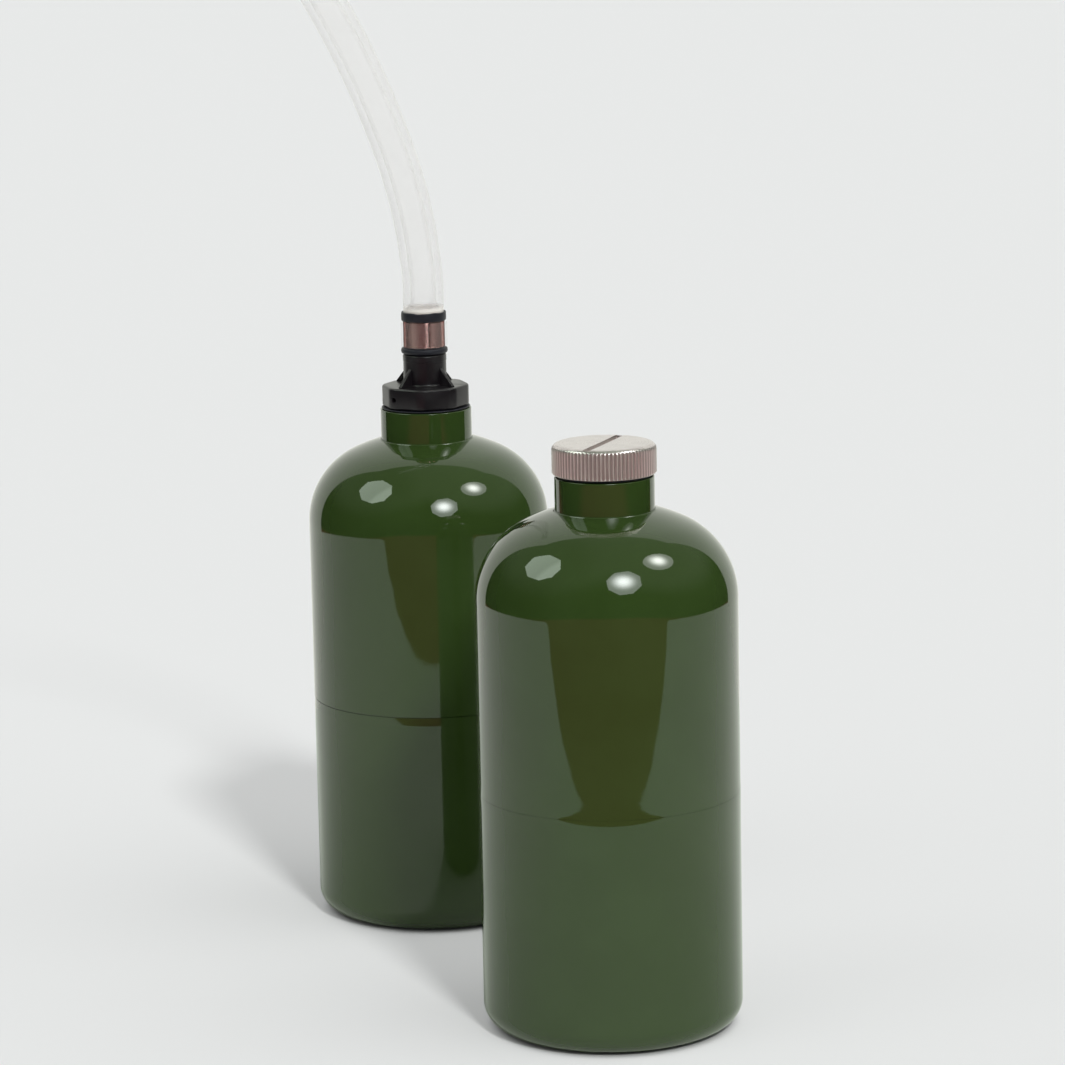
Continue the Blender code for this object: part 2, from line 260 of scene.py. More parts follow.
def enamelMaterial():
    values = {
        "green": (0.0228, 0.0440, 0.0090, 1),
        "paleGreen": (0.0255, 0.0485, 0.0110, 1),
        "cloudScale": 32,
        "roughness": 0.035,
        "handledScale": 85,         # patches dulled by handling, and by how much
        "handledRoughness": 0.04,
        "peelScale": 520,
        "peelDepth": 0.0000035,
        "sagScale": 46,
        "sagDepth": 0.00006,
    }
    material, wires = newMaterial("green enamel")
    place = objectPlace(wires)
    cloud = noise(wires, place, values["cloudScale"], 3)
    colour = blendColours(wires, fade(wires, cloud, 0.35, 0.7), values["green"], values["paleGreen"])
    sag = bump(wires, noise(wires, place, values["sagScale"], 1), values["sagDepth"])
    peel = bump(wires, noise(wires, place, values["peelScale"], 2), values["peelDepth"], under=sag)
    handled = fade(wires, noise(wires, place, values["handledScale"], 4), 0.56, 0.74)
    shader = wires.node("ShaderNodeBsdfPrincipled", {}, {
        "Base Color": colour, "Roughness": values["roughness"] + handled * values["handledRoughness"],
        "IOR": 1.5, "Normal": peel})
    finish(wires, shader)
    return material


def turnedSteelMaterial():
    values = {
        "steel": (0.545, 0.497, 0.500, 1),
        "paleSteel": (0.620, 0.572, 0.572, 1),
        "crest": (0.97, 0.91, 0.88, 1),         # the knurled side, paler on its crests, with painted shade darkening its grooves
        "groove": (0.54, 0.47, 0.45, 1),
        "grooveRadius": 0.02130,
        "crestRadius": 0.02172,
        "rolledBelow": (0.0009, 0.0019),        # the knurled finish fades in this far below the top
        "rolledFoot": 0.0004,                   # and out over this height below the head
        "roughness": 0.28,
        "rolledRoughness": 0.17,
        "stainScale": 150,
        "stainRoughness": 0.06,
        "grooveScale": 2600,
        "grooveRoughness": 0.12,
        "grooveDepth": 0.000006,
    }
    material, wires = newMaterial("turned steel")
    place = objectPlace(wires)
    centred = wires.node("ShaderNodeMapping", {"vector_type": 'POINT'},
                         {"Vector": place, "Location": (-canAxes["front"].x, -canAxes["front"].y, 0)})
    flat = wires.node("ShaderNodeVectorMath", {"operation": 'MULTIPLY'}, {0: centred, 1: (1, 1, 0)})
    radius = wires.node("ShaderNodeVectorMath", {"operation": 'LENGTH'}, {0: flat}, 1)
    height = along(wires, centred, 2)
    toolPath = wires.node("ShaderNodeCombineXYZ", {}, {"X": radius, "Y": height})
    grooves = noise(wires, toolPath, values["grooveScale"], 3)
    stain = noise(wires, place, values["stainScale"], 4)
    rimStart, rimEnd = values["rolledBelow"]
    rolled = fade(wires, height, capTop - rimStart, capTop - rimEnd)
    rolled = rolled * fade(wires, height, headBottom - values["rolledFoot"], headBottom)
    turned = blendColours(wires, fade(wires, stain, 0.3, 0.75), values["steel"], values["paleSteel"])
    # painted shade: the colour darkens from the knurl's crests down into its grooves
    knurlWithPaintedShade = blendColours(wires, fade(wires, radius, values["grooveRadius"], values["crestRadius"]),
                           values["groove"], values["crest"])
    colour = blendColours(wires, rolled, turned, knurlWithPaintedShade)
    wear = (grooves - 0.5) * values["grooveRoughness"]
    wear = wear + fade(wires, stain, 0.5, 0.8) * values["stainRoughness"]
    shader = wires.node("ShaderNodeBsdfPrincipled", {}, {
        "Base Color": colour, "Metallic": 1.0,
        "Roughness": values["roughness"] + rolled * values["rolledRoughness"] + wear,
        "Normal": bump(wires, grooves, values["grooveDepth"])})
    finish(wires, shader)
    return material


def nippleMaterial():
    values = {
        "metal": (0.46, 0.28, 0.26, 1),
        "darkMetal": (0.34, 0.20, 0.19, 1),
        "edgeTint": (0.15, 0.12, 0.12, 1),
        "roughness": 0.23,
        "drawnOut": 1.0,        # fine turning marks draw its lights out upwards
        "drawnTurn": 0.25,
        "ringScale": 160,
        "ringStretch": 12,
        "ringRoughness": 0.06,
        "ringDepth": 0.000002,
    }
    material, wires = newMaterial("nipple metal")
    place = objectPlace(wires)
    stretched = wires.node("ShaderNodeMapping", {}, {"Vector": place, "Scale": (1, 1, values["ringStretch"])})
    rings = noise(wires, stretched, values["ringScale"], 3)
    shader = wires.node("ShaderNodeBsdfPrincipled", {}, {
        "Base Color": blendColours(wires, rings, values["darkMetal"], values["metal"]), "Metallic": 1.0,
        "Specular Tint": values["edgeTint"], "Anisotropic": values["drawnOut"],
        "Anisotropic Rotation": values["drawnTurn"],
        "Roughness": values["roughness"] + rings * values["ringRoughness"],
        "Normal": bump(wires, rings, values["ringDepth"])})
    finish(wires, shader)
    return material


blacks = {
    "black moulding": {"black": (0.0065, 0.0052, 0.0066, 1), "worn": (0.0095, 0.0082, 0.0096, 1),
                       "roughness": 0.32, "grain": 900, "depth": 0.00001},
    "black rubber": {"black": (0.0065, 0.0068, 0.0125, 1), "worn": (0.0105, 0.0110, 0.0180, 1),
                     "roughness": 0.50, "grain": 1400, "depth": 0.00002},
    "patches": 0.12,            # the worn patches' scale, as a share of the grain's
    "wornRoughness": 0.10,
}


def blackMaterial(name):
    values = blacks[name]
    material, wires = newMaterial(name)
    place = objectPlace(wires)
    speckle = noise(wires, place, values["grain"], 4)
    wear = fade(wires, noise(wires, place, values["grain"] * blacks["patches"], 3), 0.45, 0.75)
    shader = wires.node("ShaderNodeBsdfPrincipled", {}, {
        "Base Color": blendColours(wires, wear, values["black"], values["worn"]),
        "Roughness": values["roughness"] + wear * blacks["wornRoughness"], "IOR": 1.4,
        "Normal": bump(wires, speckle, values["depth"])})
    finish(wires, shader)
    return material


def hoseMaterial():
    # clear wall, milkier seen edge on, hardly seen over the barrel, clouded where the clamp squeezes it, with
    # painted shade just over the clamp
    values = {
        "wall": (0.76, 0.75, 0.725, 1),
        "clouded": (0.96, 0.93, 0.87, 1),
        "shaded": (0.70, 0.67, 0.62, 1),        # painted shade, just over the clamp
        "clearAlpha": 0.085,
        "wallAlpha": 0.05,
        "edgeAlpha": 0.40,
        "stretchedAlpha": 0.015,
        "stretchedEdge": 0.16,
        "cloudedAlpha": 0.52,
        "cloudedRise": (0.0008, 0.0034),        # fades out between these heights over the clamp
        "shadedRise": 0.0014,
        "freeFrom": (-0.0006, -0.0002),         # the stretched look ends just under the clamp's top
        "roughness": 0.12,
        "cloudScale": 60,
        "unevenness": 0.05,                     # of its clearness and its gloss
        "skinScale": 220,
        "skinDepth": 0.00001,
    }
    material, wires = newMaterial("clear hose")
    place = objectPlace(wires)
    height = along(wires, place, 2)
    edge = wires.node("ShaderNodeLayerWeight", {}, {"Blend": 0.35}, 1)
    cloud = noise(wires, place, values["cloudScale"], 3)
    free = fade(wires, height, *(clampTop + rise for rise in values["freeFrom"]))
    cloudedFull, cloudedEnd = values["cloudedRise"]
    clouded = free * fade(wires, height, clampTop + cloudedEnd, clampTop + cloudedFull)
    # painted shade: the clouded colour darkens towards the clamp band's top
    cloudedWithPaintedShade = blendColours(wires, fade(wires, height, clampTop, clampTop + values["shadedRise"]),
                            values["shaded"], values["clouded"])
    stretched = values["stretchedAlpha"] + edge * edge * values["stretchedEdge"]
    clear = values["clearAlpha"] + fade(wires, edge, 0.10, 0.30) * values["wallAlpha"]
    clear = clear + edge * edge * values["edgeAlpha"] + (cloud - 0.5) * values["unevenness"]
    shader = wires.node("ShaderNodeBsdfPrincipled", {}, {
        "Base Color": blendColours(wires, clouded, values["wall"], cloudedWithPaintedShade), "IOR": 1.35,
        "Roughness": values["roughness"] + cloud * values["unevenness"],
        "Alpha": stretched + (clear - stretched) * free + clouded * values["cloudedAlpha"],
        "Normal": bump(wires, noise(wires, place, values["skinScale"], 2), values["skinDepth"])})
    finish(wires, shader)
    return material


enamel = enamelMaterial()
turnedSteel = turnedSteelMaterial()
nippleMetal = nippleMaterial()
moulding = blackMaterial("black moulding")
rubber = blackMaterial("black rubber")
clearHose = hoseMaterial()
print("materials made")


# The camera comes first, then the hose

view = {
    "place": (0.0087, -1.81225, 0.53928),
    "pitch": math.radians(10.812),
    "roll": math.radians(1.179),
    "focalPixels": 4216.74,
    "photoPixels": 1065,
    "sensor": 36.0,
}


def addCamera():
    data = bpy.data.cameras.new("view")
    data.sensor_width = view["sensor"]
    data.lens = view["sensor"] * view["focalPixels"] / view["photoPixels"]
    camera = bpy.data.objects.new("view", data)
    bpy.context.collection.objects.link(camera)
    turn = Matrix.Rotation(math.pi / 2 - view["pitch"], 4, 'X') @ Matrix.Rotation(-view["roll"], 4, 'Z')
    camera.matrix_world = Matrix.Translation(view["place"]) @ turn
    bpy.context.scene.camera = camera


addCamera()

hose = {
    "radius": 0.00925,
    "wall": 0.0034,
    "cuffWall": 0.0010,
    "wallRamp": 0.0045,         # the wall grows from one to the other over this height above the clamp
    "cuffRadius": 0.0106,
    "cuffTaper": 0.0012,
    "start": nodeBox("free_hose")[0].z,
    "cuffLow": nodeBox("hose_cuff")[0].z,
    "cuffHigh": nodeBox("clamp_band")[0].z,
    "bend": [(0.0, 0.0), (0.0, 0.012), (-0.0014, 0.027), (-0.0041, 0.044), (-0.0088, 0.063), (-0.0154, 0.083),
             (-0.0238, 0.1044), (-0.0343, 0.1269), (-0.0477, 0.1514), (-0.0652, 0.1778), (-0.0891, 0.2063)],
    "sides": 14,
    "stepsBetween": 12,
}


def hoseRoute():
    # the cuff's straight stretch, then the free bend, as (place, share of the hose's radius)
    axis = canAxes["rear"]
    swell = hose["cuffRadius"] / hose["radius"]
    straight = [(hose["cuffLow"], swell), (hose["cuffLow"] + hose["cuffWall"], swell),
                (hose["cuffHigh"] - hose["cuffTaper"], swell), (hose["cuffHigh"], 1.0)]
    route = [(Vector((axis.x, axis.y, height)), share) for height, share in straight]
    route += [(Vector((axis.x + across, axis.y, hose["start"] + up)), 1.0) for across, up in hose["bend"]]
    return route


def makeHose():
    route = hoseRoute()
    data = bpy.data.curves.new("clearHose", 'CURVE')
    data.dimensions = '3D'
    data.bevel_depth = hose["radius"]
    data.bevel_resolution = hose["sides"]
    data.resolution_u = hose["stepsBetween"]
    spline = data.splines.new('BEZIER')
    spline.bezier_points.add(len(route) - 1)
    for point, (place, swell) in zip(spline.bezier_points, route):
        point.co = place
        point.radius = swell
        point.handle_left_type = 'AUTO'
        point.handle_right_type = 'AUTO'
    piece = bpy.data.objects.new("clearHose", data)
    bpy.context.collection.objects.link(piece)
    pick(piece)
    bpy.ops.object.convert(target='MESH')
    piece = bpy.context.object
    thin = hose["cuffWall"] / hose["wall"]
    group = piece.vertex_groups.new(name="wallShare")
    for point in piece.data.vertices:
        grown = min(max((point.co.z - clampTop) / hose["wallRamp"], 0), 1)
        group.add([point.index], thin + (1 - thin) * grown, 'REPLACE')
    wall = piece.modifiers.new("wall", 'SOLIDIFY')
    wall.vertex_group = group.name
    wall.thickness = hose["wall"]
    wall.offset = -1
    bpy.ops.object.modifier_apply(modifier=wall.name)
    bpy.ops.object.shade_smooth_by_angle(angle=math.radians(40))
    piece.data.materials.clear()
    piece.data.materials.append(clearHose)
    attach(piece, "coupling")
    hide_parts("free_hose", "hose_cuff")
    places = [place for place, swell in route]
    length = sum((there - here).length for here, there in zip(places, places[1:]))
    print("hose made, length", round(length, 4))


makeHose()


# Steel shells

def settleOnCan(piece, which, part):
    settle(piece, which, which + "_can", enamel, [which + part])


def leaningWall(radius, base, stations, steps=8):
    # outline of a wall through stations of (height over base, tilt in degrees), a positive tilt facing up
    points = [(radius, base + stations[0][0])]
    for (low, tiltLow), (high, tiltHigh) in zip(stations, stations[1:]):
        rise = (high - low) / steps
        for step in range(steps):
            tilt = math.radians(tiltLow + (tiltHigh - tiltLow) * (step + 0.5) / steps)
            points.append((points[-1][0] - math.tan(tilt) * rise, points[-1][1] + rise))
    return points


# how each wall leans just below and just above the seam line, and the fine groove of the line
seams = {
    "front": {"below": [(-0.0165, 0), (-0.0065, -0.7), (-0.0029, -0.7), (0, 3.4)],
              "above": [(0, 3.35), (0.0017, 1.4), (0.0038, 0.45), (0.007, 0)],
              "line": 0.00012, "depth": 0.00008},
    "rear": {"below": [(-0.0042, 0), (-0.0034, 2.6), (0, 3.2)],
             "above": [(0, 0.6), (0.0015, 0)],
             "line": 0.0005, "depth": 0.00040},
}


def lowerShell(which):
    seam = seams[which]
    radius, sheet, corner, rise = can["radius"], can["sheet"], can["baseCorner"], can["footRise"]
    footOuter = radius - corner
    footInner = footOuter - can["footWidth"]
    recess = footInner - can["baseRecess"]
    top = seamHeight - seam["line"] / 2
    lipRadius = radius - sheet - can["lipGap"]
    points = [(0, can["baseRecess"])]
    points += arcPoints(recess, can["baseRecess"] - can["recessRound"], can["recessRound"],
                        math.pi / 2, math.pi / 4, 3)
    points += [(footInner - 0.0006, 0.0005), (footInner, 0.0001), (footInner + can["footEdge"], 0),
               (footOuter - can["footEdge"], 0), (footOuter - 0.0002, rise / 3)]
    points += arcPoints(footOuter, rise + corner, corner, math.radians(-88), 0, 20)
    points.append((radius, rise + corner + 0.0008))      # keeps the long wall's shading straight
    points += leaningWall(radius, top, seam["below"])
    edge = points[-1][0]
    points += [(edge - 0.0005, top), (lipRadius, top + 0.0005), (lipRadius, seamHeight + can["lip"]),
               (lipRadius - sheet, seamHeight + can["lip"]), (lipRadius - sheet, top - sheet),
               (radius - sheet, top - sheet - 0.0005)]
    points += arcPoints(footOuter, rise + corner, corner - sheet, 0, -math.pi / 2, 10)
    points += [(footInner, sheet), (recess, can["baseRecess"] + sheet), (0, can["baseRecess"] + sheet)]
    piece = lathe(which + "LowerShell", points, can["steps"])
    settleOnCan(piece, which, "_lower_shell")


def upperShell(which):
    seam = seams[which]
    radius, sheet, ring = can["radius"], can["sheet"], can["shoulderRing"]
    shoulder = radius - ring
    low = seamHeight + seam["line"] / 2
    crownCentre = can["wallTop"] - math.sqrt((can["crown"] - shoulder) ** 2 - ring ** 2)
    joint = math.atan2(can["wallTop"] - crownCentre, ring)
    hole = neckRadius + hairGap

    def dome(inset, stepsShoulder, stepsCrown):
        rise = math.acos(hole / (can["crown"] - inset))
        shoulderArc = arcPoints(ring, can["wallTop"], shoulder - inset, 0, joint, stepsShoulder)
        return shoulderArc + arcPoints(0, crownCentre, can["crown"] - inset, joint, rise, stepsCrown)[1:]

    flare = leaningWall(radius, low, seam["above"])
    proud = radius - flare[-1][0]
    flare = [(across + proud, up) for across, up in flare]
    points = [(radius - sheet, low), (flare[0][0] - 0.0003, low)] + flare
    points += [(radius, can["wallTop"] - 0.0008)] + dome(0, 28, 20)
    points += dome(sheet, 14, 10)[::-1]
    piece = lathe(which + "UpperShell", points, can["steps"])
    settleOnCan(piece, which, "_upper_shell")


def girthSeam(which):
    seam = seams[which]
    half = seam["line"] / 2 + 0.0004
    outer = can["radius"] - seam["depth"] - 0.00008
    inner = can["radius"] - can["sheet"]
    points = [(outer, seamHeight - half), (outer + 0.00004, seamHeight), (outer, seamHeight + half),
              (inner, seamHeight + half), (inner, seamHeight - half)]
    piece = lathe(which + "GirthWeld", points, can["steps"])
    settleOnCan(piece, which, "_girth_weld")


# One inch thread, cut in the neck and on both plugs

thread = {
    "lead": 0.002309,
    "maleCrest": 0.01645,
    "maleRoot": 0.01500,
    "maleCrestFlat": 0.00035,
    "femaleCrest": 0.01662,
    "femaleRoot": 0.01517,
    "sideGap": 0.00013,
    "rootFlat": 0.0006,
    "relief": 0.0020,
    "stepsATurn": 72,
    "closeReach": 0.00001,      # how close the points of two leads count as one
}


def threadedRod(name, low, high, root, crest, crestFlat, rootFlat):
    # a toothed outline, screwed up one lead in one turn, then cut square at both ends
    lead = thread["lead"]
    turns = math.ceil((high - low) / lead) + 3
    base = headBottom - lead * math.ceil((headBottom - low + lead * 2) / lead)
    points = [(root, base)]
    for tooth in range(turns):
        middle = base + lead * (tooth + 0.5)
        points += [(root, middle - (lead - rootFlat) / 2), (crest, middle - crestFlat / 2),
                   (crest, middle + crestFlat / 2), (root, middle + (lead - rootFlat) / 2)]
    points.append((root, base + lead * turns))
    piece = drawOutline(name, points)
    bpy.ops.object.mode_set(mode='OBJECT')
    screw = piece.modifiers.new("screw", 'SCREW')
    screw.axis = 'Z'
    screw.angle = math.tau
    screw.screw_offset = lead
    screw.steps = thread["stepsATurn"]
    screw.render_steps = thread["stepsATurn"]
    screw.use_merge_vertices = False
    pick(piece)
    bpy.ops.object.modifier_apply(modifier=screw.name)
    bpy.ops.object.mode_set(mode='EDIT')
    bpy.ops.mesh.select_all(action='SELECT')
    bpy.ops.mesh.remove_doubles(threshold=thread["closeReach"])
    for height, outwards in ((low, -1), (high, 1)):
        bpy.ops.mesh.select_all(action='SELECT')
        bpy.ops.mesh.bisect(plane_co=(0, 0, height), plane_no=(0, 0, outwards),
                            use_fill=True, clear_outer=True)
    bpy.ops.mesh.select_all(action='SELECT')
    bpy.ops.mesh.normals_make_consistent(inside=False)
    bpy.ops.object.mode_set(mode='OBJECT')
    return piece


neck = {
    "edge": 0.0004,             # round of the mouth's outer edge
    "bevel": 0.0003,            # of its inner edge
    "overMaleRoot": 0.0002,     # how much wider the bore is than the plug's thread at its root
    "overFemaleCrest": 0.0003,
    "sinkSlope": 0.7,           # height of the slope into the thread, as a share of its width
    "tapOver": 0.002,
    "beadReach": 0.0008,
    "beadRise": 0.0003,
    "beadSteps": 10,
    "ripple": 0.00003,
    "ripplePhase": {"front": 0.4, "rear": 2.1},
    "steps": 144,
}


def neckSocket(which):
    edge, bevel = neck["edge"], neck["bevel"]
    minor = thread["maleRoot"] + neck["overMaleRoot"]
    mouth = thread["femaleCrest"] + neck["overFemaleCrest"]
    sink = mouth - minor
    points = [(neckRadius, socketLow), (neckRadius, neckTop - edge - 0.0003)]
    points += arcPoints(neckRadius - edge, neckTop - edge, edge, 0, math.pi / 2, 6)
    points += [(mouth + bevel, neckTop), (mouth, neckTop - bevel),
               (minor, neckTop - bevel - sink * neck["sinkSlope"]),
               (minor, socketLow + sink * neck["sinkSlope"]), (mouth, socketLow)]
    piece = lathe(which + "NeckSocket", points, neck["steps"])
    gap = thread["sideGap"]
    carve(piece, threadedRod("tap", socketLow - neck["tapOver"], neckTop + neck["tapOver"],
                             thread["femaleRoot"], thread["femaleCrest"],
                             thread["maleCrestFlat"] + gap * 2, thread["rootFlat"] - gap * 2))
    pick(piece)
    bpy.ops.object.shade_smooth_by_angle(angle=smoothUnder)
    settleOnCan(piece, which, "_neck_socket")


def neckBead(which):
    # a small fillet of weld, painted over, a little uneven round the neck
    shoulder = can["radius"] - can["shoulderRing"]
    crownCentre = can["wallTop"] - math.sqrt((can["crown"] - shoulder) ** 2 - can["shoulderRing"] ** 2)

    def onCrown(radius):
        return crownCentre + math.sqrt(can["crown"] ** 2 - radius ** 2)

    inner = neckRadius - hairGap
    reach, rise, steps = neck["beadReach"], neck["beadRise"], neck["beadSteps"]
    points = []
    for step in range(steps + 1):
        share = step / steps
        radius = inner + reach * (1 - share)
        lift = rise * math.sin(math.pi * share) ** 0.8 if 0 < step < steps else 0
        points.append((radius, onCrown(radius) + lift))
    points += [(inner, onCrown(inner) - 0.0004), (inner + reach * 0.9, onCrown(inner + reach) - 0.0003)]
    piece = lathe(which + "NeckWeld", points, neck["steps"])
    phase = neck["ripplePhase"][which]
    for point in piece.data.vertices:
        turn = math.atan2(point.co.y, point.co.x)
        out = math.hypot(point.co.x, point.co.y) - inner
        ripple = (neck["ripple"] * math.sin(turn * 31 + phase)
                  + neck["ripple"] * math.sin(turn * 7 + phase * 3))
        point.co.z += ripple * max(0.0, 1 - out / reach) * (1 if point.co.z > onCrown(inner) else 0)
    settleOnCan(piece, which, "_neck_weld")


for which in ("front", "rear"):
    lowerShell(which)
    girthSeam(which)
    upperShell(which)
    neckSocket(which)
    neckBead(which)
    print(which, "can made")


# Gaskets and the two heads

plug = {
    "gasketInner": 0.0160,
    "gasketOuter": 0.0202,
    "bore": 0.01247,
    "pocket": 0.003,
    "cutPast": 0.001,           # how far a boring tool reaches past the stub
    "steps": 144,
}


def gasket(which, node):
    low, high = [corner.z for corner in nodeBox(node)]
    bulge = (high - low) / 2
    middle = (low + high) / 2
    points = [(plug["gasketInner"], low), (plug["gasketOuter"] - bulge, low)]
    points += arcPoints(plug["gasketOuter"] - bulge, middle, bulge, -math.pi / 3, math.pi / 3, 5)
    points += [(plug["gasketOuter"] - bulge, high), (plug["gasketInner"], high)]
    name, body = {"front": ("capGasket", "cap_seal"), "rear": ("couplingGasket", "coupling_seal")}[which]
    piece = lathe(name, points, 96)
    settle(piece, which, body, rubber, [node])


def maleStub(name):
    # threaded stub, its first and last threads run out, with a relief under the head
    rod = threadedRod(name, stubLow, headBottom - thread["relief"] + 0.0002, thread["maleRoot"],
                      thread["maleCrest"], thread["maleCrestFlat"], thread["rootFlat"])
    top = headBottom - thread["relief"]
    root, crest = thread["maleRoot"], thread["maleCrest"]
    depth = crest - root
    points = [(0, stubLow - 0.0001), (root - 0.0002, stubLow - 0.0001),
              (crest + 0.0002, stubLow + depth * 0.8), (crest + 0.0002, top - depth * 0.5),
              (root - 0.0001, top), (root - 0.0001, top + 0.0003), (0, top + 0.0003)]
    carve(rod, lathe("chamfer", points, plug["steps"]), 'INTERSECT')
    slim = root - 0.00005
    points = [(0, top - 0.0004), (slim, top - 0.0004), (slim, headBottom + plug["pocket"] / 2),
              (0, headBottom + plug["pocket"] / 2)]
    carve(rod, lathe("relief", points, plug["steps"]), 'UNION')
    return rod


def boreTool(name, radius, low, high):
    return lathe(name, [(0, low), (radius, low), (radius, high), (0, high)], 72)


knurl = {
    "radius": 0.0218,
    "depth": 0.00065,
    "teeth": 80,
    "profile": (0, 0.35, 0.75, 0.95, 1, 0.95, 0.75, 0.35),      # depth of the columns of one tooth
    "topRound": 0.0028,
    "footChamfer": 0.0006,
    "footInset": 0.0004,
    "slotWidth": 0.0032,
    "slotLength": 0.0410,
    "slotDepth": 0.0015,
    "slotTurn": math.radians(68.3),
    "dish": 0.00012,            # how much lower the top is in its middle
}


def screwCap():
    radius, curve = knurl["radius"], knurl["topRound"]
    foot, inset = knurl["footChamfer"], knurl["footInset"]
    steps = knurl["teeth"] * len(knurl["profile"])
    points = [(0, headBottom), (radius - inset - 0.0002, headBottom), (radius - inset, headBottom + 0.0001),
              (radius, headBottom + foot), (radius, headBottom + foot + 0.0004),
              (radius, capTop - curve - 0.0005), (radius, capTop - curve)]
    points += arcPoints(radius - curve, capTop - curve, curve, 0, math.pi / 2, 12)[1:]
    points += [(radius - curve - 0.0030, capTop - 0.00002), (0.004, capTop - knurl["dish"]),
               (0, capTop - knurl["dish"])]
    piece = lathe("screwCap", points, steps)
    # a knurling wheel presses the grooves in, so they run out in the round and in the foot's slope
    for point in piece.data.vertices:
        across = math.hypot(point.co.x, point.co.y)
        column = round(math.atan2(point.co.y, point.co.x) / math.tau * steps) % len(knurl["profile"])
        most = radius - knurl["depth"] * knurl["profile"][column]
        if across > most:
            point.co.x *= most / across
            point.co.y *= most / across
    carve(piece, maleStub("capStub"), 'UNION')
    carve(piece, boreTool("capBore", plug["bore"], stubLow - plug["cutPast"], headBottom + plug["pocket"]))
    deselect()
    bpy.ops.mesh.primitive_cube_add(size=1, location=(0, 0, capTop))
    tool = bpy.context.object
    tool.dimensions = (knurl["slotLength"], knurl["slotWidth"], knurl["slotDepth"] * 2)
    tool.rotation_euler.z = knurl["slotTurn"]
    bpy.ops.object.transform_apply(location=True, rotation=True, scale=True)
    carve(piece, tool)
    pick(piece)
    bpy.ops.object.shade_smooth_by_angle(angle=math.radians(24))
    settle(piece, "front", "cap", turnedSteel, ["screw_cap"])
    print("screw cap made")


coupling = {
    "flangeRadius": 0.020547,       # to the sharp corners, before they are rounded
    "flats": 8,
    "turn": math.radians(40),
    "cornerRound": 0.0032,
    "edge": 0.0010,
    "flangeHeight": 0.0096,
    "tail": 0.00995,
    "tailRound": 0.0009,
    "collar": 0.0031,
    "collarStep": 0.00012,
    "fillet": 0.0011,
    "gussets": 4,
    "gussetTurn": math.radians(-131),
    "gussetHeight": 0.0076,
    "gussetReach": 0.0072,
    "gussetWidth": 0.0018,
    "gussetProud": 0.0004,          # of the flange at its outer end
    "gussetRound": 0.00022,
    "plugPocket": 0.002,
    "vent": 0.0012,
    "ventDepth": 0.0035,
    "ventTurn": math.radians(-136),
    "ventRise": 0.0044,
    "fuelBore": 0.0063,
}


def flangeBlock():
    height = coupling["flangeHeight"]
    deselect()
    bpy.ops.mesh.primitive_cylinder_add(vertices=coupling["flats"], radius=coupling["flangeRadius"],
                                        depth=height, location=(0, 0, headBottom + height / 2))
    piece = bpy.context.object
    piece.name = "hoseCoupling"
    # the first corner of a new cylinder lies on +Y
    piece.rotation_euler.z = coupling["turn"] - math.pi / 2
    bpy.ops.object.transform_apply(location=True, rotation=True, scale=True)

    def isUpright(edge):
        low, high = [piece.data.vertices[end].co for end in edge.vertices]
        return abs(low.z - high.z) > height / 2

    choose(piece, 'EDGE', isUpright)
    bpy.ops.mesh.bevel(offset=coupling["cornerRound"], segments=8, affect='EDGES')
    bpy.ops.object.mode_set(mode='OBJECT')
    choose(piece, 'FACE', lambda face: abs(face.normal.z) > 0.9)
    bpy.ops.mesh.bevel(offset=coupling["edge"], segments=4, affect='EDGES')
    bpy.ops.object.mode_set(mode='OBJECT')
    return piece


def gusset(number):
    top = headBottom + coupling["flangeHeight"]
    inner = coupling["tail"] - coupling["gussetWidth"]
    outer = coupling["tail"] + coupling["gussetReach"]
    low = top - coupling["edge"]
    proud = coupling["gussetProud"]
    deselect()
    bpy.ops.mesh.primitive_cube_add(size=1, location=((inner + outer) / 2, 0, (low + top + proud) / 2))
    piece = bpy.context.object
    piece.dimensions = (outer - inner, coupling["gussetWidth"], top + proud - low)
    bpy.ops.object.transform_apply(location=True, rotation=True, scale=True)
    # the inner top edge is raised, which gives the slope
    choose(piece, 'VERT', lambda point: point.co.x < inner + 0.0001 and point.co.z > top)
    bpy.ops.transform.translate(value=(coupling["gussetWidth"], 0, coupling["gussetHeight"]))
    bpy.ops.mesh.select_all(action='SELECT')
    bpy.ops.mesh.bevel(offset=coupling["gussetRound"], segments=3, affect='EDGES')
    bpy.ops.object.mode_set(mode='OBJECT')
    piece.rotation_euler.z = coupling["gussetTurn"] + math.tau * number / coupling["gussets"]
    bpy.ops.object.transform_apply(location=True, rotation=True, scale=True)
    return piece


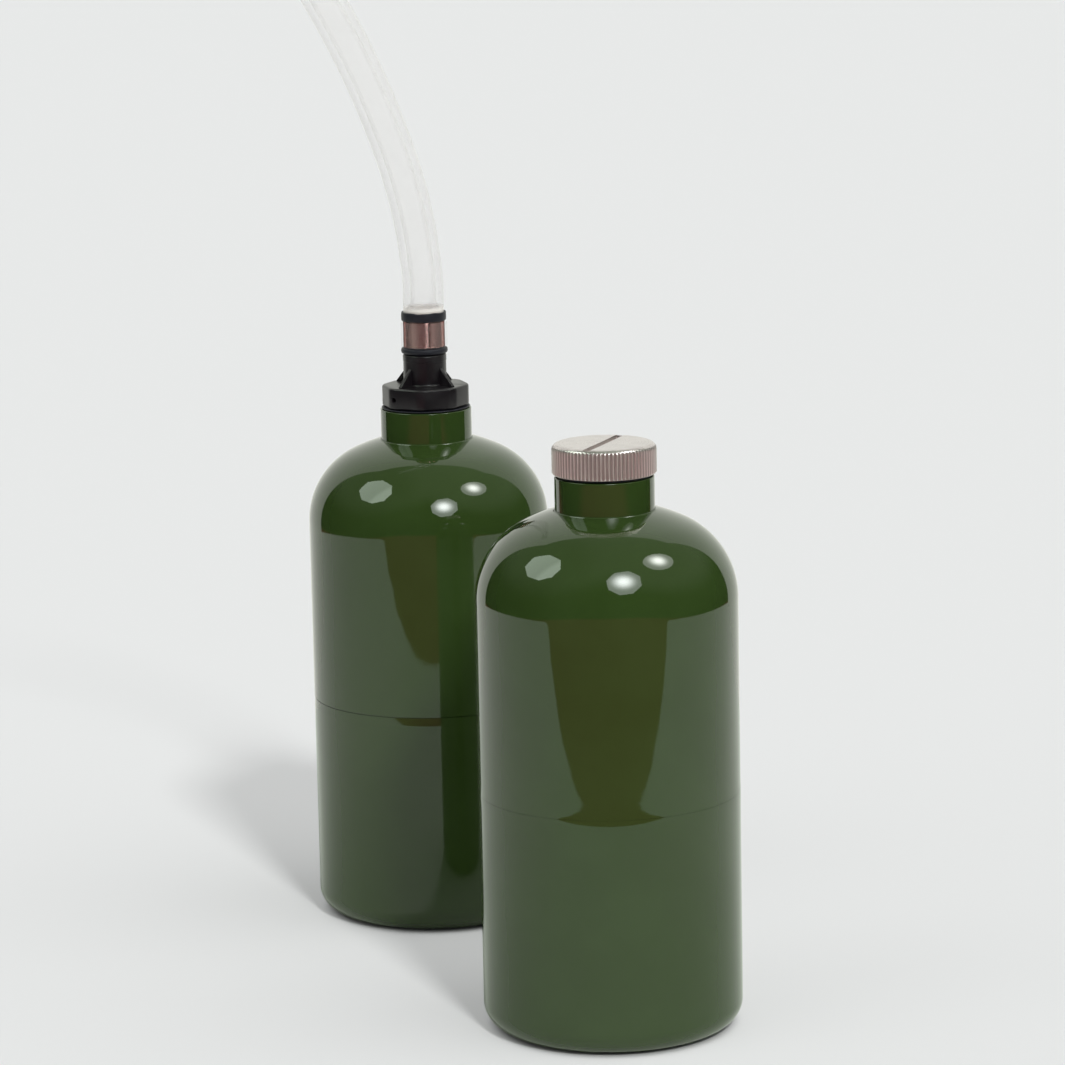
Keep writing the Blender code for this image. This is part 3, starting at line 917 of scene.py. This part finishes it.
def hoseCoupling():
    piece = flangeBlock()
    carve(piece, maleStub("couplingStub"), 'UNION')
    top = headBottom + coupling["flangeHeight"]
    tail, step, fillet = coupling["tail"], coupling["collarStep"], coupling["fillet"]
    collar, edge = tailTop - coupling["collar"], coupling["tailRound"]
    points = [(0, headBottom + 0.004), (tail + fillet, headBottom + 0.004), (tail + fillet, top - 0.0001)]
    points += arcPoints(tail + fillet - step, top + fillet, fillet, -math.pi / 2, -math.pi, 6)
    points += [(tail - step, top + fillet * 1.3), (tail - step, collar - step * 3), (tail - step, collar - step),
               (tail, collar), (tail, collar + step * 2), (tail, tailTop - edge * 1.3)]
    points += arcPoints(tail - edge, tailTop - edge, edge, 0, math.pi / 2, 6)
    points += [(0, tailTop)]
    carve(piece, lathe("tail", points, 96), 'UNION')
    for number in range(coupling["gussets"]):
        carve(piece, gusset(number), 'UNION')
    carve(piece, boreTool("plugBore", plug["bore"], stubLow - plug["cutPast"],
                          headBottom + coupling["plugPocket"]))
    carve(piece, boreTool("fuelBore", coupling["fuelBore"], stubLow - 0.002, tailTop + 0.001))
    apothem = coupling["flangeRadius"] * math.cos(math.pi / coupling["flats"])
    deselect()
    bpy.ops.mesh.primitive_cylinder_add(vertices=32, radius=coupling["vent"], depth=coupling["ventDepth"] * 2,
                                        location=(apothem * math.cos(coupling["ventTurn"]),
                                                  apothem * math.sin(coupling["ventTurn"]),
                                                  headBottom + coupling["ventRise"]),
                                        rotation=(0, math.pi / 2, coupling["ventTurn"]))
    carve(piece, bpy.context.object)
    pick(piece)
    bpy.ops.object.shade_smooth_by_angle(angle=math.radians(28))
    settle(piece, "rear", "coupling", moulding, ["hose_coupling"])
    print("hose coupling made")


# crown is how much the side bulges, wave how uneven the upper edge is
blackRings = {
    "stopRing": {"node": "stop_ring", "inner": 0.0063, "outer": 0.0107, "high": nodeBox("stop_ring")[1].z,
                 "edge": 0.0009, "crown": 0.0001, "wave": 0.0},
    "clampBand": {"node": "clamp_band", "inner": 0.0093, "outer": 0.0103, "high": clampTop,
                  "edge": 0.0004, "crown": 0.00008, "wave": 0.00013},
}


def roundedRing(name):
    ring = blackRings[name]
    inner, outer, edge, high = ring["inner"], ring["outer"], ring["edge"], ring["high"]
    low = nodeBox(ring["node"])[0].z
    side = outer - edge - ring["crown"]
    points = [(inner, low), (side, low)]
    points += arcPoints(side, low + edge, edge, -math.pi / 2, 0, 5)[1:]
    points += [(outer, (low + high) / 2)]
    points += arcPoints(side, high - edge, edge, 0, math.pi / 2, 5)
    points += [(inner, high)]
    piece = lathe(name, points, 96)
    for point in piece.data.vertices:
        turn = math.atan2(point.co.y, point.co.x)
        share = max(point.co.z - (low + high) / 2, 0) / (high - low) * 2
        point.co.z += ring["wave"] * share * (math.sin(turn * 5 + 0.6) + 0.5 * math.sin(turn * 11))
    settle(piece, "rear", "coupling", rubber, [ring["node"]])


nipple = {
    "bore": 0.005,
    "stem": 0.006,
    "barrel": 0.0095,
    "spigot": 0.0074,
    "shoulder": 0.0015,         # height of the slope between barrel and spigot
    "edge": 0.0003,
    "barrelGap": 0.0003,        # above the stop ring and below the clamp band
    "spigotEnd": 0.0004,        # the spigot ends this far below the clamp band's top
}


def hoseNipple():
    low, high = [corner.z for corner in nodeBox("hose_nipple")]
    barrelLow = nodeBox("stop_ring")[1].z + nipple["barrelGap"]
    barrelTop = hose["cuffHigh"] - nipple["barrelGap"]
    bore, stem, barrel, spigot, edge = [nipple[part] for part in ("bore", "stem", "barrel", "spigot", "edge")]
    points = [(bore, low), (stem, low), (stem, barrelLow)]
    points += arcPoints(barrel - edge, barrelLow + edge, edge, -math.pi / 2, 0, 3)
    points += [(barrel, barrelLow + edge * 1.5), (barrel, barrelTop - edge * 1.5)]
    points += arcPoints(barrel - edge, barrelTop - edge, edge, 0, math.pi / 4, 3)
    points += [(spigot, barrelTop + nipple["shoulder"])]
    spigotTop = min(high, clampTop - nipple["spigotEnd"])
    points += arcPoints(spigot - edge, spigotTop - edge, edge, 0, math.pi / 2, 4)
    points += [(bore, spigotTop)]
    piece = lathe("hoseNipple", points, 96)
    settle(piece, "rear", "coupling", nippleMetal, ["hose_nipple"])


tube = {
    "inner": 0.005,
    "outer": 0.006,
    "slant": math.radians(35),
    "cutOff": 0.001,            # what the slanting cut takes off at its lowest
}


def dipTube():
    low, high = [corner.z for corner in nodeBox("dip_tube")]
    inner, outer, slant = tube["inner"], tube["outer"], tube["slant"]
    piece = lathe("dipTube", [(inner, low - tube["cutOff"]), (outer, low - tube["cutOff"]),
                              (outer, high), (inner, high)], 64)
    # the foot is cut on the slant
    bpy.ops.object.mode_set(mode='EDIT')
    bpy.ops.mesh.select_all(action='SELECT')
    bpy.ops.mesh.bisect(plane_co=(-outer, 0, low), plane_no=(-math.sin(slant), 0, math.cos(slant)),
                        use_fill=True, clear_inner=True)
    bpy.ops.object.mode_set(mode='OBJECT')
    settle(piece, "rear", "coupling", turnedSteel, ["dip_tube"])


gasket("front", "cap_gasket")
gasket("rear", "coupling_gasket")
screwCap()
hoseCoupling()
roundedRing("stopRing")
roundedRing("clampBand")
hoseNipple()
dipTube()
print("fittings made")


# Plain studio: pale floor, soft light, and what shines in the enamel

studio = {
    "floorSize": 40.0,
    "floor": (0.80, 0.81, 0.805, 1),
    "background": (0.795, 0.81, 0.803, 1),
    "evenShare": 0.30,          # share of the floor, as the camera sees it, that takes no cast shadow
    "contactReach": 0.06,       # how near a thing has to be for painted shade to darken the floor
    # painted shade of the floor near the cans' feet and in the gap between them
    "paintedGapShade": (0.54, 0.55, 0.54, 1),
    "mirroredFloor": (0.86, 0.92, 0.82, 1),
    "mirroredSides": (0.98, 1.0, 0.94, 1),
    "mirroredWidth": (0.10, 0.50),          # the first fades into the second between these
    "tableFront": 0.522,        # in the shine the floor is pale up to here in front, and brown beyond it
    "tableMiddle": 0.03,
    "tableCurve": 0.265,        # a little further out at the sides
    "tableRadius": 1.08,        # all round it is brown beyond this radius
    "tableBlur": (0.006, 0.01),
    "roomRadius": (1.9, 2.8),   # brown turns dark between these
    "roomWidth": (0.85, 1.15),  # sooner at the sides
    "beyondTable": (0.33, 0.055, 0.085, 1),
    "room": (0.016, 0.016, 0.015, 1),
    "ceiling": 0.33,            # how bright the ceiling shines, less over the left
    "ceilingLeft": 0.20,
    "ceilingRise": (35, 68),    # degrees over the floor between which it fades in
    "ceilingColour": (0.98, 1.12, 0.86, 1),
    "skyStrength": 0.36,
}


def addFloor():
    deselect()
    bpy.ops.mesh.primitive_plane_add(size=studio["floorSize"], location=(0, 0, 0))
    floor = bpy.context.object
    floor.name = "floor"
    material, wires = newMaterial("floor")
    place = objectPlace(wires)
    across, deep = along(wires, place, 0), along(wires, place, 1)
    inShine = lightPath(wires, 3)
    toCamera = lightPath(wires, 0)
    radius = wires.node("ShaderNodeVectorMath", {"operation": 'LENGTH'}, {0: place}, 1)
    sideways = across - studio["tableMiddle"]
    edge = deep + sideways * sideways * studio["tableCurve"] + studio["tableFront"]
    width = wires.node("ShaderNodeMath", {"operation": 'ABSOLUTE'}, {0: across})
    frontBlur, roundBlur = studio["tableBlur"]
    tableRadius = studio["tableRadius"]
    beyond = wires.math("MAXIMUM", fade(wires, 0 - edge, -frontBlur, frontBlur),
                        fade(wires, radius, tableRadius - roundBlur, tableRadius + roundBlur))
    far = wires.math("MAXIMUM", fade(wires, radius, *studio["roomRadius"]),
                     fade(wires, width, *studio["roomWidth"]))
    # painted shade: near the cans the floor's colour darkens and its even glow dims
    nearness = wires.node("ShaderNodeAmbientOcclusion", {"samples": 8},
                          {"Distance": studio["contactReach"]}, 1)
    floorWithPaintedShade = blendColours(wires, fade(wires, nearness, 0.05, 0.45), studio["paintedGapShade"], studio["floor"])
    mirrored = blendColours(wires, fade(wires, width, *studio["mirroredWidth"]),
                            studio["mirroredFloor"], studio["mirroredSides"])
    lit = wires.node("ShaderNodeBsdfDiffuse", {}, {"Color": blendColours(wires, inShine, floorWithPaintedShade, mirrored)})
    even = wires.node("ShaderNodeEmission", {}, {"Color": studio["background"],
                                                 "Strength": fade(wires, nearness, 0.08, 0.5)})
    dark = wires.node("ShaderNodeEmission", {}, {
        "Color": blendColours(wires, far, studio["beyondTable"], studio["room"]), "Strength": 1.0})
    seen = wires.node("ShaderNodeMixShader", {}, {0: toCamera * studio["evenShare"], 1: lit, 2: even})
    finish(wires, wires.node("ShaderNodeMixShader", {}, {0: inShine * beyond, 1: seen, 2: dark}))
    floor.data.materials.append(material)


def glowMaterial(name, colour, strength, core=None, ridge=0.0):
    # core is (across, up, inner radius, outer radius, strength) of a brighter middle, ridge the share
    # by which the left side is brighter
    material, wires = newMaterial(name)
    place = objectPlace(wires)
    light = strength
    if ridge:
        across = along(wires, place, 0)
        light = strength * (1 + fade(wires, across, -0.06, -0.22) * ridge)
    if core:
        middle = wires.node("ShaderNodeMapping", {}, {"Vector": place, "Location": (-core[0], -core[1], 0)})
        radius = wires.node("ShaderNodeVectorMath", {"operation": 'LENGTH'}, {0: middle}, 1)
        share = fade(wires, radius, core[3], core[2])
        light = strength + share * share * core[4]
    finish(wires, wires.node("ShaderNodeEmission", {}, {"Color": colour, "Strength": light}))
    return material


def hideFromAllButShine(thing):
    for sight in ("camera", "diffuse", "shadow", "volume_scatter"):
        setattr(thing, "visible_" + sight, False)


def addCard(name, place, size, sides, spin, glow):
    # an even-sided card that faces the cans and is seen only in their shine
    material = glowMaterial(**glow)
    deselect()
    bpy.ops.mesh.primitive_circle_add(vertices=sides, radius=1, fill_type='NGON')
    card = bpy.context.object
    card.name = name
    card.scale = (size[0] / 2, size[1] / 2, 1)
    card.rotation_euler.z = spin
    bpy.ops.object.transform_apply(location=True, rotation=True, scale=True)
    aim = (Vector((0, 0, 0.2)) - Vector(place)).to_track_quat('Z', 'Y').to_matrix().to_4x4()
    card.matrix_world = Matrix.Translation(place) @ aim
    card.data.materials.append(material)
    hideFromAllButShine(card)


backdrop = {
    "place": (0.06, 0.47, 0.70),
    "size": (1.44, 1.40, 1),
    "colour": (0.85, 0.865, 0.80, 1),
    "strength": 1.18,
}


def addBackdrop():
    deselect()
    bpy.ops.mesh.primitive_plane_add(size=1, location=backdrop["place"], rotation=(math.pi / 2, 0, 0))
    card = bpy.context.object
    card.name = "backdrop"
    card.scale = backdrop["size"]
    card.data.materials.append(glowMaterial("backdrop", backdrop["colour"], backdrop["strength"]))
    hideFromAllButShine(card)


def addSun(name, towards, level, spread):
    # level is the brightness that a white face turned to it would get
    data = bpy.data.lights.new(name, 'SUN')
    data.energy = level * math.pi
    data.angle = math.radians(spread)
    lamp = bpy.data.objects.new(name, data)
    bpy.context.collection.objects.link(lamp)
    lamp.rotation_mode = 'QUATERNION'
    lamp.rotation_quaternion = Vector(towards).to_track_quat('Z', 'Y')
    lamp.location = Vector(towards) * 3
    lamp.visible_glossy = False
    lamp.visible_camera = False


def addWorld():
    world = bpy.data.worlds.new("studio")
    bpy.context.scene.world = world
    world.use_nodes = True
    world.node_tree.nodes.clear()
    wires = Wire(world.node_tree)
    toCamera = lightPath(wires, 0)
    inShine = lightPath(wires, 3)
    through = lightPath(wires, 6)
    soft = wires.node("ShaderNodeBackground", {}, {"Color": (1, 1, 1, 1), "Strength": studio["skyStrength"]})
    towards = wires.node("ShaderNodeTexCoord", {}, {}, 0)
    leftwards = 0 - along(wires, towards, 0)
    sideways = wires.node("ShaderNodeMath", {"operation": 'ABSOLUTE'}, {0: leftwards})
    upwards = along(wires, towards, 2)
    ceiling = studio["ceiling"] + (fade(wires, leftwards, 0.0, 0.35)
                                   * (studio["ceilingLeft"] - studio["ceiling"]))
    low, full = [math.sin(math.radians(angle)) for angle in studio["ceilingRise"]]
    high = fade(wires, upwards + sideways * 0.45, low, full)
    shine = blendColours(wires, high * ceiling, studio["room"], studio["ceilingColour"])
    room = wires.node("ShaderNodeBackground", {}, {"Color": shine, "Strength": 1.0})
    pale = wires.node("ShaderNodeBackground", {}, {"Color": studio["background"], "Strength": 1.0})
    lit = wires.node("ShaderNodeMixShader", {}, {0: inShine, 1: soft, 2: room})
    seen = wires.math("MAXIMUM", toCamera, through)
    wires.node("ShaderNodeOutputWorld", {}, {
        "Surface": wires.node("ShaderNodeMixShader", {}, {0: seen, 1: lit, 2: pale})})


cards = {
    "softbox": {
        "place": (-1.003, -0.220, 1.265), "size": (0.90, 0.79), "sides": 8, "spin": 0.26,
        "glow": {"name": "softbox", "colour": (0.86, 1.0, 0.86, 1), "strength": 4.3, "ridge": 0.35},
    },
    "frontLamp": {
        "place": (0.265, -0.810, 0.824), "size": (0.50, 0.57), "sides": 8, "spin": 0.39,
        "glow": {"name": "front lamp", "colour": (0.93, 0.98, 0.96, 1), "strength": 3.6,
                 "core": (0.007, 0.024, 0.02, 0.27, 21)},
    },
    "sideLamp": {
        "place": (0.949, -0.305, 1.482), "size": (0.70, 0.57), "sides": 48, "spin": 0.15,
        "glow": {"name": "side lamp", "colour": (0.95, 0.98, 0.93, 1), "strength": 3.2,
                 "core": (-0.012, 0.027, 0.02, 0.33, 20)},
    },
}

suns = {
    "key": {"towards": (0.53, -0.23, 0.80), "level": 0.27, "spread": 60},
    "front": {"towards": (0.25, -0.735, 0.63), "level": 0.61, "spread": 8},
    "left": {"towards": (-0.7, -0.4, 0.6), "level": 0.08, "spread": 40},
}

addFloor()
addBackdrop()
for name, card in cards.items():
    addCard(name, **card)
for name, sun in suns.items():
    addSun(name, **sun)
addWorld()
bpy.context.scene.view_settings.view_transform = 'Standard'
print("studio made")
